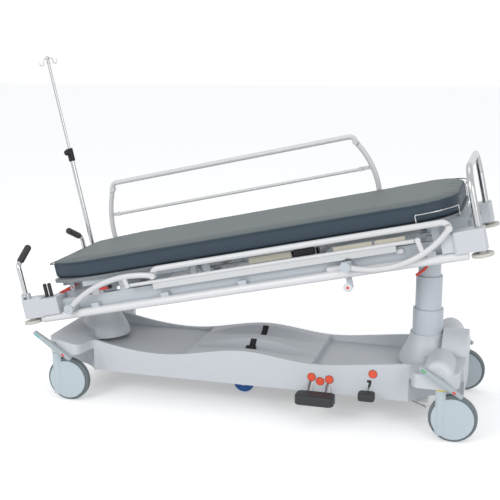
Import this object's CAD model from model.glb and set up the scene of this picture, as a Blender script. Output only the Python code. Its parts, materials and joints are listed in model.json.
import json
import math

import bmesh
import bpy
import numpy as np
from mathutils import Matrix, Vector


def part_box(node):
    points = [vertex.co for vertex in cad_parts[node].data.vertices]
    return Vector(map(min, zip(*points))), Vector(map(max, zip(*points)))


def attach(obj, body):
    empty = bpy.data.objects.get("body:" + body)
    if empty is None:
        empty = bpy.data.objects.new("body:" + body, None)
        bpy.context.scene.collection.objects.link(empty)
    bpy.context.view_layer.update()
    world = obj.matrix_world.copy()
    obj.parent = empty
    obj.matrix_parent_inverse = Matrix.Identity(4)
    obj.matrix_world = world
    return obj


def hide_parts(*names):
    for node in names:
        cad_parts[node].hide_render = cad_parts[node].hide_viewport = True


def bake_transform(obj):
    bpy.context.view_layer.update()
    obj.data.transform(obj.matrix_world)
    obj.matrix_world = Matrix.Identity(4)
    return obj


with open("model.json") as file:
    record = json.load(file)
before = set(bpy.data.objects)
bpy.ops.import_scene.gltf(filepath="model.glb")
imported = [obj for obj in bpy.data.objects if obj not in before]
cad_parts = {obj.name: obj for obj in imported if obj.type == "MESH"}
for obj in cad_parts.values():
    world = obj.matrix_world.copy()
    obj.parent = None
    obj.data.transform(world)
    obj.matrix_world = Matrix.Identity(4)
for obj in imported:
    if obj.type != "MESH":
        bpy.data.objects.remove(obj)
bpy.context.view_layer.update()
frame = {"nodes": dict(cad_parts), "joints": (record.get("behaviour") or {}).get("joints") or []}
nodes = frame["nodes"]
joint_at = {joint["name"]: Vector(joint["pos_m"]) for joint in frame["joints"] if "pos_m" in joint}

# The deck's own frame: x along the deck, y across, z square to the mattress top, in metres
pin, hinge = joint_at["deck_tilt"], joint_at["backrest_hinge"]
PIN_X, PIN_Z, HINGE_X, HINGE_Z = -0.783, -0.150, -0.200, -0.090
across = hinge - pin
slope = math.atan2(across.z, across.x) - math.atan2(HINGE_Z - PIN_Z, HINGE_X - PIN_X)
ALONG = Vector((math.cos(slope), 0, math.sin(slope)))
UP = Vector((-math.sin(slope), 0, math.cos(slope)))
SIDE = Vector((0, 1, 0))


def deck(x, y, z):
    return Vector((pin.x, 0, pin.z)) + ALONG * (x - PIN_X) + SIDE * y + UP * (z - PIN_Z)


DECK = Matrix.Translation(deck(0, 0, 0)) @ Matrix((ALONG, SIDE, UP)).transposed().to_4x4()
CASTER_TRAIL = 0.050
BASE_X = (joint_at["wheel_foot_near_spin"].x + joint_at["wheel_head_near_spin"].x) / 2 - CASTER_TRAIL


# The base's own frame: x from the middle between the columns, z from the floor
def base(x, y, z):
    return Vector((BASE_X + x, y, z))


# Materials

# Each look is one plain colour with a fine grain; mottle lets the colour vary a little over wide patches
def surface(name, colour, rough=0.5, metal=0.0, bump=0.0, grain=400.0, coat=0.0, mottle=0.0, shine=0.5):
    material = bpy.data.materials.new(name)
    material.use_nodes = True
    tree = material.node_tree
    shader = tree.nodes["Principled BSDF"]
    shader.inputs["Base Color"].default_value = (*colour, 1)
    shader.inputs["Roughness"].default_value = rough
    shader.inputs["Metallic"].default_value = metal
    shader.inputs["Coat Weight"].default_value = coat
    shader.inputs["Specular IOR Level"].default_value = shine
    place = tree.nodes.new("ShaderNodeTexCoord")
    noise = tree.nodes.new("ShaderNodeTexNoise")
    noise.inputs["Scale"].default_value = grain
    noise.inputs["Detail"].default_value = 3
    tree.links.new(place.outputs["Object"], noise.inputs["Vector"])
    if bump:
        relief = tree.nodes.new("ShaderNodeBump")
        relief.inputs["Strength"].default_value = bump
        relief.inputs["Distance"].default_value = 0.0006
        tree.links.new(noise.outputs["Fac"], relief.inputs["Height"])
        tree.links.new(relief.outputs["Normal"], shader.inputs["Normal"])
    if mottle:
        wide = tree.nodes.new("ShaderNodeTexNoise")
        wide.inputs["Scale"].default_value = 14
        wide.inputs["Detail"].default_value = 4
        tree.links.new(place.outputs["Object"], wide.inputs["Vector"])
        blend = tree.nodes.new("ShaderNodeMix")
        blend.data_type = "RGBA"
        blend.inputs[6].default_value = (*[c * (1 - mottle) for c in colour], 1)
        blend.inputs[7].default_value = (*[min(1, c * (1 + mottle)) for c in colour], 1)
        tree.links.new(wide.outputs["Fac"], blend.inputs[0])
        tree.links.new(blend.outputs[2], shader.inputs["Base Color"])
    return material


COVER = surface("cover_shell", (0.58, 0.605, 0.64), 0.42, bump=0.25, grain=900, mottle=0.02)
COLUMN = surface("column_paint", (0.53, 0.57, 0.62), 0.38, bump=0.15, grain=800, mottle=0.02)
WHITE = surface("rail_paint", (0.63, 0.635, 0.645), 0.34, bump=0.15, grain=700, coat=0.15)
TUBE = surface("frame_paint", (0.70, 0.705, 0.72), 0.34, bump=0.15, grain=700, coat=0.15)
BLUE_GREY = surface("beam_paint", (0.50, 0.54, 0.575), 0.42, bump=0.2, grain=700, mottle=0.03)
BLOCK = surface("block_plastic", (0.56, 0.58, 0.615), 0.42, bump=0.3, grain=900)
BUMPER = surface("bumper", (0.57, 0.55, 0.51), 0.55, bump=0.3, grain=900)
SHIELD = surface("caster_plastic", (0.50, 0.57, 0.61), 0.40, bump=0.2, grain=900)
TYRE = surface("tyre_grey", (0.15, 0.18, 0.19), 0.62, bump=0.5, grain=700)
RUBBER = surface("pedal_rubber", (0.022, 0.026, 0.028), 0.48, bump=0.5, grain=500)
BRAKE = surface("brake_paint", (0.40, 0.455, 0.475), 0.42, bump=0.2, grain=800)
CHROME = surface("steel_bright", (0.48, 0.49, 0.50), 0.20, metal=1.0, bump=0.05, grain=300)
ZINC = surface("zinc", (0.52, 0.53, 0.54), 0.38, metal=1.0, bump=0.2, grain=500)
IRON = surface("unit_metal", (0.10, 0.105, 0.11), 0.55, bump=0.3, grain=500)
BLACK = surface("knob_black", (0.012, 0.012, 0.015), 0.40, bump=0.2, grain=700, shine=0.3)
GRIP = surface("grip_black", (0.020, 0.020, 0.022), 0.55, bump=0.5, grain=500)
STRAP = surface("strap_black", (0.016, 0.016, 0.018), 0.75, bump=0.8, grain=1600)
BOARD = surface("board", (0.20, 0.22, 0.235), 0.55, bump=0.3, grain=600)
BEIGE = surface("board_edge", (0.56, 0.53, 0.44), 0.5, bump=0.2, grain=600)
RED = surface("release_red", (0.72, 0.05, 0.03), 0.35, bump=0.1, grain=700)
ORANGE = surface("disc_orange", (0.80, 0.10, 0.045), 0.42, bump=0.1, grain=700)
GREEN = surface("mark_green", (0.10, 0.42, 0.16), 0.45, bump=0.1, grain=700)
YELLOW = surface("ring_yellow", (0.80, 0.66, 0.02), 0.42, bump=0.1, grain=700)
BLUE = surface("steer_blue", (0.03, 0.16, 0.50), 0.45, bump=0.3, grain=700)
PALE = surface("knob_grey", (0.66, 0.67, 0.69), 0.38, bump=0.1, grain=700)
TEAL = surface("mark_teal", (0.08, 0.45, 0.45), 0.45, bump=0.1, grain=700)
MATTRESS = surface("mattress", (0.040, 0.060, 0.082), 0.50, bump=0.35, grain=1500, mottle=0.05,
                   shine=0.25)
MATTRESS_TOP = surface("mattress_top", (0.125, 0.148, 0.152), 0.50, bump=0.35, grain=1500, mottle=0.05,
                       shine=0.25)

LOOKS = {
    "base_cover": COVER, "foot_end_hood": COVER, "base_frame": IRON, "hydraulic_unit": IRON,
    "tray_straps": STRAP,
    "column_sleeves": COLUMN, "head_column_mid": COLUMN, "head_column_top": COLUMN,
    "foot_column_mid": COLUMN,
    "foot_column_top": COLUMN, "head_pivot_pin": ZINC, "deck_frame": BLUE_GREY, "side_tubes": TUBE,
    "corner_blocks": BLOCK,
    "bumper_discs": BUMPER, "seat_platform": BOARD, "back_platform": BOARD, "backrest_frame": BLUE_GREY,
    "foot_hoop": CHROME, "accessory_rails": CHROME, "mattress_retainers": CHROME,
    "backrest_release": RED,
    "gas_spring_cylinder": BLACK, "gas_spring_rod": ZINC, "iv_pole_lower": CHROME,
    "iv_pole_upper": CHROME,
    "iv_pole_clamp": BLACK, "iv_pole_knob": BLACK, "tilt_release_lever": RED, "fifth_wheel": BLUE,
    "fifth_wheel_arm": ZINC,
    "head_brake_bar": BRAKE, "foot_brake_bar": BRAKE, "near_rail_release": PALE,
    "far_rail_release": PALE,
}
for name, node in nodes.items():
    look = LOOKS.get(name)
    if look is None:
        if name.startswith("caster_fork"):
            look = SHIELD
        elif name.startswith("caster_wheel"):
            look = TYRE
        elif name.endswith("push_handle"):
            look = CHROME
        elif name.endswith("_pedal"):
            look = RUBBER
        else:
            look = WHITE
    node.data.materials.clear()
    node.data.materials.append(look)

# Faces of one node with a look of their own

def paint(name, look, chosen):
    mesh = nodes[name].data
    mesh.materials.append(look)
    slot = len(mesh.materials) - 1
    for face in mesh.polygons:
        if chosen(face.center, face.normal):
            face.material_index = slot


# The pedal arms are bright metal up to the rubber pads
PAD_INNER_Y = 0.262
for side in ("near", "far"):
    paint(f"{side}_pump_pedal", CHROME, lambda centre, normal: abs(centre.y) < PAD_INNER_Y)
    paint(f"{side}_release_pedal", CHROME, lambda centre, normal: abs(centre.y) < PAD_INNER_Y)


def deck_place(point):
    offset = point - deck(0, 0, 0)
    return offset.dot(ALONG), offset.y, offset.dot(UP)


# The handles have a grip from the bend inwards
GRIP_OUTER_Y, GRIP_LOW = 0.312, 0.030


def on_grip(centre, normal):
    return deck_place(centre)[2] > GRIP_LOW and abs(centre.y) < GRIP_OUTER_Y


for side in ("near", "far"):
    paint(f"{side}_push_handle", GRIP, on_grip)


# New pieces

def finish_piece(piece, look, body):
    piece.data.materials.append(look)
    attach(piece, body)
    return piece


def mesh_piece(name, builder):
    mesh = bpy.data.meshes.new(name)
    form = bmesh.new()
    builder(form)
    form.to_mesh(mesh)
    form.free()
    piece = bpy.data.objects.new(name, mesh)
    bpy.context.scene.collection.objects.link(piece)
    return piece


def disc(name, centre, axis, radius, thick, look, body, rim=0.0015, segments=40):
    def build(form):
        bmesh.ops.create_cone(form, cap_ends=True, segments=segments, radius1=radius, radius2=radius,
                              depth=thick)
        if rim:
            edges = [edge for edge in form.edges if abs(edge.verts[0].co.z - edge.verts[1].co.z) < 1e-6]
            bmesh.ops.bevel(form, geom=edges, offset=rim, segments=2, affect="EDGES")
        turn = Vector((0, 0, 1)).rotation_difference(Vector(axis)).to_matrix().to_4x4()
        bmesh.ops.transform(form, matrix=Matrix.Translation(centre) @ turn, verts=form.verts)
    return finish_piece(mesh_piece(name, build), look, body)


def slab(name, low, high, place, look, body, rim=0.0015):
    def build(form):
        bmesh.ops.create_cube(form, size=1)
        size = Vector(high) - Vector(low)
        middle = (Vector(high) + Vector(low)) / 2
        sized = Matrix.Translation(middle) @ Matrix.Diagonal((*size, 1))
        bmesh.ops.transform(form, matrix=sized, verts=form.verts)
        bmesh.ops.bevel(form, geom=form.edges[:], offset=rim, segments=2, affect="EDGES")
        bmesh.ops.transform(form, matrix=place, verts=form.verts)
    return finish_piece(mesh_piece(name, build), look, body)


# Mattress: a firm pad whose cover is blown up a little by a cloth simulation
HALF_WIDE, HEAD_HALF, HEAD, FOOT, FOOT_ROUND, THICK = 0.330, 0.250, -0.910, 0.962, 0.165, 0.080
HEAD_ROUND, TAPER_END, TAPER_BOW = 0.030, -0.628, 2.1
INSET = 0.004


def mattress_outline():
    side = []
    for step in range(9):
        angle = math.radians(180 - 90 * step / 8)
        side.append((HEAD + HEAD_ROUND + HEAD_ROUND * math.cos(angle),
                     HEAD_HALF - HEAD_ROUND + HEAD_ROUND * math.sin(angle)))
    for step in range(1, 25):
        share = step / 24
        x = HEAD + HEAD_ROUND + (TAPER_END - HEAD - HEAD_ROUND) * share
        side.append((x, HEAD_HALF + (HALF_WIDE - HEAD_HALF) * (1 - (1 - share) ** TAPER_BOW)))
    for step in range(19):
        angle = math.radians(90 - 90 * step / 18)
        side.append((FOOT - FOOT_ROUND + FOOT_ROUND * math.cos(angle),
                     HALF_WIDE - FOOT_ROUND + FOOT_ROUND * math.sin(angle)))
    return side + [(x, -y) for x, y in reversed(side)]


def mattress_form(form):
    middle_x = (HEAD + FOOT) / 2
    ring = []
    for x, y in mattress_outline():
        ring.append((x + math.copysign(INSET, middle_x - x), y - math.copysign(INSET, y)))
    low = [form.verts.new((x, y, -THICK + INSET / 2)) for x, y in ring]
    high = [form.verts.new((x, y, -INSET / 2)) for x, y in ring]
    form.faces.new(list(reversed(low)))
    form.faces.new(high)
    count = len(ring)
    for number in range(count):
        following = (number + 1) % count
        form.faces.new((low[number], low[following], high[following], high[number]))
    bmesh.ops.recalc_face_normals(form, faces=form.faces)
    rim = [edge for edge in form.edges if abs(edge.verts[0].co.z - edge.verts[1].co.z) < 1e-6]
    bmesh.ops.bevel(form, geom=rim, offset=0.007, segments=3, affect="EDGES")


mattress = mesh_piece("mattress", mattress_form)
bpy.context.view_layer.objects.active = mattress
mattress.select_set(True)
VOXEL = 0.009
remesh = mattress.modifiers.new("even", "REMESH")
remesh.mode = "VOXEL"
remesh.voxel_size = VOXEL
bpy.ops.object.modifier_apply(modifier="even")
rest = np.array([vertex.co for vertex in mattress.data.vertices])


def capped(found, cap):
    moved = found - rest
    length = np.linalg.norm(moved, axis=1)
    scale = np.minimum(1.0, cap / np.maximum(length, 1e-9))
    return rest + moved * scale[:, None]


cloth = mattress.modifiers.new("blown", "CLOTH")
settings = cloth.settings
settings.quality = 5
settings.mass = 0.3
settings.use_pressure = True
settings.uniform_pressure_force = 4
settings.effector_weights.gravity = 0
settings.tension_stiffness = 40
settings.compression_stiffness = 40
settings.shear_stiffness = 20
settings.bending_stiffness = 4
cloth.collision_settings.use_collision = False
scene = bpy.context.scene
for number in range(1, 21):
    scene.frame_set(number)
evaluated = mattress.evaluated_get(bpy.context.evaluated_depsgraph_get())
blown = np.array([vertex.co for vertex in evaluated.data.vertices])
mattress.modifiers.remove(cloth)
scene.frame_set(1)
placed = capped(blown, 0.010)
# The underside lies on the boards and the top of a firm pad stays nearly flat
low = rest[:, 2] < -THICK + 0.012
placed[low, 2] = np.maximum(placed[low, 2], -THICK + 0.0005)
placed[:, 2] = np.minimum(placed[:, 2], 0.006)
mattress.data.vertices.foreach_set("co", placed.astype(np.float32).ravel())
mattress.data.update()
finer = mattress.modifiers.new("finer", "SUBSURF")
finer.levels = 1
bpy.ops.object.modifier_apply(modifier="finer")
mattress.data.transform(DECK)
mattress.data.materials.append(MATTRESS)
mattress.data.materials.append(MATTRESS_TOP)
for face in mattress.data.polygons:
    face.use_smooth = True
    if face.normal.dot(UP) > 0.5 and deck_place(face.center)[2] > -0.0075:
        face.material_index = 1
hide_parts("mattress_seat", "mattress_fold", "mattress_back")
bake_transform(mattress)


def welt_form(form):
    # A thin round cord along the top edge, where the two sheets of the cover are welded
    corners = [Vector((x, y, -0.0075)) for x, y in mattress_outline()]
    path = []
    for number, corner in enumerate(corners):
        following = corners[(number + 1) % len(corners)]
        # Short steps let the cord bend over the hinge with the cover
        steps = max(1, round((following - corner).length / 0.012))
        path += [corner.lerp(following, step / steps) for step in range(steps)]
    count, sides, radius = len(path), 8, 0.0022
    rings = []
    for number, point in enumerate(path):
        forward = (path[(number + 1) % count] - path[number - 1]).normalized()
        outward = forward.cross(Vector((0, 0, 1)))
        ring = []
        for step in range(sides):
            angle = math.tau * step / sides
            around = outward * math.cos(angle) + Vector((0, 0, math.sin(angle)))
            ring.append(form.verts.new(point + radius * around))
        rings.append(ring)
    for number in range(count):
        following = rings[(number + 1) % count]
        for step in range(sides):
            after = (step + 1) % sides
            form.faces.new((rings[number][step], rings[number][after], following[after],
                            following[step]))
    bmesh.ops.recalc_face_normals(form, faces=form.faces)


welt = mesh_piece("mattress_welt", welt_form)
welt.data.transform(DECK)
welt.data.materials.append(MATTRESS)
for face in welt.data.polygons:
    face.use_smooth = True
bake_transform(welt)

# Orange discs over the pedals on the near wall of the cover, and the steering caster's ring
COVER_WALL_Y, DISC_RADIUS, DISC_THICK = -0.2215, 0.019, 0.003
discs = {"pedal_disc_0": (0.304, 0.186), "pedal_disc_1": (0.342, 0.170), "pedal_disc_2": (0.382, 0.182),
         "release_disc": (0.570, 0.225)}
for name, (x, z) in discs.items():
    disc(name, base(x, COVER_WALL_Y, z), (0, -1, 0), DISC_RADIUS, DISC_THICK, ORANGE, "base")
ring_at = joint_at["caster_foot_near_swivel"]
disc("steering_ring", Vector((ring_at.x, ring_at.y, 0.2215)), (0, 0, 1), 0.030, 0.006, YELLOW,
     "caster_foot_near")

# Coloured marks at the ends of the brake pedals, on their outer faces
BRAKE_SLOPE, BRAKE_FACE_Y = math.radians(33), 0.371
MARK_HALF_THICK, MARK_HALF_HIGH = 0.0006, 0.004
for end, look in (("head", TEAL), ("foot", GREEN)):
    for side, sign in (("near", -1), ("far", 1)):
        pivot = joint_at[f"{end}_brake_turn"]
        place = Matrix.Translation(Vector((pivot.x, sign * BRAKE_FACE_Y, pivot.z)))
        place = place @ Matrix.Rotation(BRAKE_SLOPE, 4, "Y")
        for kind, start, stop, colour in (("lock", -0.092, -0.070, look), ("free", 0.058, 0.074, RED)):
            slab(f"{end}_{side}_{kind}_mark", (start, -MARK_HALF_THICK, -MARK_HALF_HIGH),
                 (stop, MARK_HALF_THICK, MARK_HALF_HIGH), place, colour, f"{end}_brake",
                 rim=0.0003)

# Two rubber posts on the near head block keep the release bar off the handle
for number, x in enumerate((-0.922, -0.899)):
    disc(f"rubber_post_{number}", deck(x, -0.300, -0.116), UP, 0.0085, 0.069, GRIP, "deck",
         rim=0.003)

# Pale edge strips of the board on the near side
for number, (start, end) in enumerate(((0.432, 0.594), (0.604, 0.728))):
    slab(f"edge_strip_{number}", (start, -0.3275, -0.1385), (end, -0.3215, -0.1205), DECK, BEIGE,
         "deck")

# Red dot on each release knob
for side, sign in (("near", -1), ("far", 1)):
    low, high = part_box(f"{side}_rail_release")
    face = Vector(((low[0] + high[0]) / 2, sign * max(abs(low[1]), abs(high[1])),
                   (low[2] + high[2]) / 2))
    disc(f"{side}_knob_dot", face, (0, -1, 0), 0.006, 0.0012, RED, f"{side}_rail_button",
         rim=0)

# Small parts along the near side of the deck
slab("spring_motor", (0.260, -0.318, -0.139), (0.354, -0.301, -0.108), DECK, BLACK, "deck",
     rim=0.004)
slab("spring_cover", (0.060, -0.3065, -0.139), (0.250, -0.3005, -0.112), DECK, BEIGE, "deck",
     rim=0.002)
disc("cable_housing", deck(0.442, -0.317, -0.211), ALONG, 0.014, 0.110, WHITE, "deck",
     rim=0.006)
for number, (x, z) in enumerate(((-0.674, -0.155), (-0.535, -0.130))):
    slab(f"cover_plate_{number}", (x - 0.018, -0.3065, z - 0.014), (x + 0.018, -0.3005, z + 0.014),
         DECK, WHITE, "deck")
slab("red_catch", (-0.652, -0.3075, -0.150), (-0.606, -0.3005, -0.138), DECK, RED, "deck")
disc("catch_knob", deck(-0.598, -0.308, -0.140), SIDE, 0.009, 0.014, BLACK, "deck",
     rim=0.003)
for number, (x, z) in enumerate(((0.624, -0.163), (0.694, -0.181))):
    slab(f"rail_latch_{number}", (x - 0.016, -0.316, z - 0.010), (x + 0.016, -0.301, z + 0.010), DECK,
         PALE, "deck", rim=0.003)
disc("steering_mark", deck(0.790, -0.098, -0.262), SIDE, 0.0055, 0.003, RED, "tilt_lever",
     rim=0)

# Steering linkage under the foot end of the base
BASE = Matrix.Translation(base(0, 0, 0))
slab("link_bracket", (0.745, -0.150, 0.093), (0.798, -0.138, 0.160), BASE, PALE, "base")
link_start, link_end = base(0.640, -0.140, 0.122), base(0.790, -0.140, 0.068)
disc("link_rod", (link_start + link_end) / 2, (link_end - link_start).normalized(), 0.005,
     (link_end - link_start).length,
     ZINC, "base", rim=0.001)

# Floor, light and camera
floor = mesh_piece("floor", lambda form: bmesh.ops.create_grid(form, x_segments=1, y_segments=1,
    size=30))


def seen_rays(tree, rays):
    # 1 for a ray from the camera, also where it was mirrored or went through something clear
    total = rays.outputs["Is Camera Ray"]
    for kind in ("Is Glossy Ray", "Is Transmission Ray"):
        either = tree.nodes.new("ShaderNodeMath")
        either.operation = "MAXIMUM"
        tree.links.new(total, either.inputs[0])
        tree.links.new(rays.outputs[kind], either.inputs[1])
        total = either.outputs[0]
    return total


def floor_look():
    # White to the camera and in mirrors, with the soft shadow kept
    material = bpy.data.materials.new("floor_white")
    material.use_nodes = True
    tree = material.node_tree
    tree.nodes.clear()
    output = tree.nodes.new("ShaderNodeOutputMaterial")
    plain = tree.nodes.new("ShaderNodeBsdfDiffuse")
    plain.inputs["Color"].default_value = (0.80, 0.80, 0.80, 1)
    bright = tree.nodes.new("ShaderNodeBsdfDiffuse")
    bright.inputs["Color"].default_value = (0.97, 0.97, 0.97, 1)
    glow = tree.nodes.new("ShaderNodeEmission")
    glow.inputs["Strength"].default_value = 0.30
    both = tree.nodes.new("ShaderNodeAddShader")
    tree.links.new(bright.outputs[0], both.inputs[0])
    tree.links.new(glow.outputs[0], both.inputs[1])
    rays = tree.nodes.new("ShaderNodeLightPath")
    seen_by = seen_rays(tree, rays)
    choice = tree.nodes.new("ShaderNodeMixShader")
    tree.links.new(seen_by, choice.inputs[0])
    tree.links.new(plain.outputs[0], choice.inputs[1])
    tree.links.new(both.outputs[0], choice.inputs[2])
    tree.links.new(choice.outputs[0], output.inputs[0])
    return material


floor.data.materials.append(floor_look())

world = bpy.data.worlds.new("studio")
bpy.context.scene.world = world
world.use_nodes = True
tree = world.node_tree
tree.nodes.clear()
out = tree.nodes.new("ShaderNodeOutputWorld")
seen = tree.nodes.new("ShaderNodeBackground")
seen.inputs["Color"].default_value = (1, 1, 1, 1)
seen.inputs["Strength"].default_value = 1.0
soft = tree.nodes.new("ShaderNodeBackground")
soft.inputs["Color"].default_value = (0.96, 0.98, 1.0, 1)
soft.inputs["Strength"].default_value = 0.70
path = tree.nodes.new("ShaderNodeLightPath")
either = seen_rays(tree, path)
mix = tree.nodes.new("ShaderNodeMixShader")
tree.links.new(either, mix.inputs[0])
tree.links.new(soft.outputs[0], mix.inputs[1])
tree.links.new(seen.outputs[0], mix.inputs[2])
tree.links.new(mix.outputs[0], out.inputs[0])


def area_light(name, place, aim, size, power):
    light = bpy.data.lights.new(name, "AREA")
    light.shape = "DISK"
    light.size = size
    light.energy = power
    item = bpy.data.objects.new(name, light)
    item.location = place
    item.rotation_euler = (Vector(aim) - Vector(place)).to_track_quat("-Z", "Y").to_euler()
    bpy.context.scene.collection.objects.link(item)


area_light("key", (-2.0, -4.5, 3.0), (0, 0, 0.5), 2.5, 92)
area_light("fill", (3.5, -3.5, 2.0), (0.3, 0, 0.5), 2.5, 50)
area_light("top", (0.0, 0.5, 5.0), (0, 0, 0.4), 3.0, 20)

EYE, YAW, PITCH, ROLL = Vector((1.21885, -3.97495, 1.60860)), 16.44, 12.60, -0.28
yaw, pitch, roll = math.radians(YAW), math.radians(PITCH), math.radians(ROLL)
ahead = Vector((-math.sin(yaw) * math.cos(pitch), math.cos(yaw) * math.cos(pitch), -math.sin(pitch)))
right = Vector((math.cos(yaw), math.sin(yaw), 0))
top = right.cross(ahead)
right, top = math.cos(roll) * right + math.sin(roll) * top, -math.sin(roll) * right + math.cos(roll) * top
lens = bpy.data.cameras.new("camera")
lens.lens = 67.34
lens.sensor_width = 36
camera = bpy.data.objects.new("camera", lens)
camera.matrix_world = Matrix.Translation(EYE) @ Matrix((right, top, -ahead)).transposed().to_4x4()
bpy.context.scene.collection.objects.link(camera)
bpy.context.scene.camera = camera
bpy.context.scene.view_settings.view_transform = "Standard"
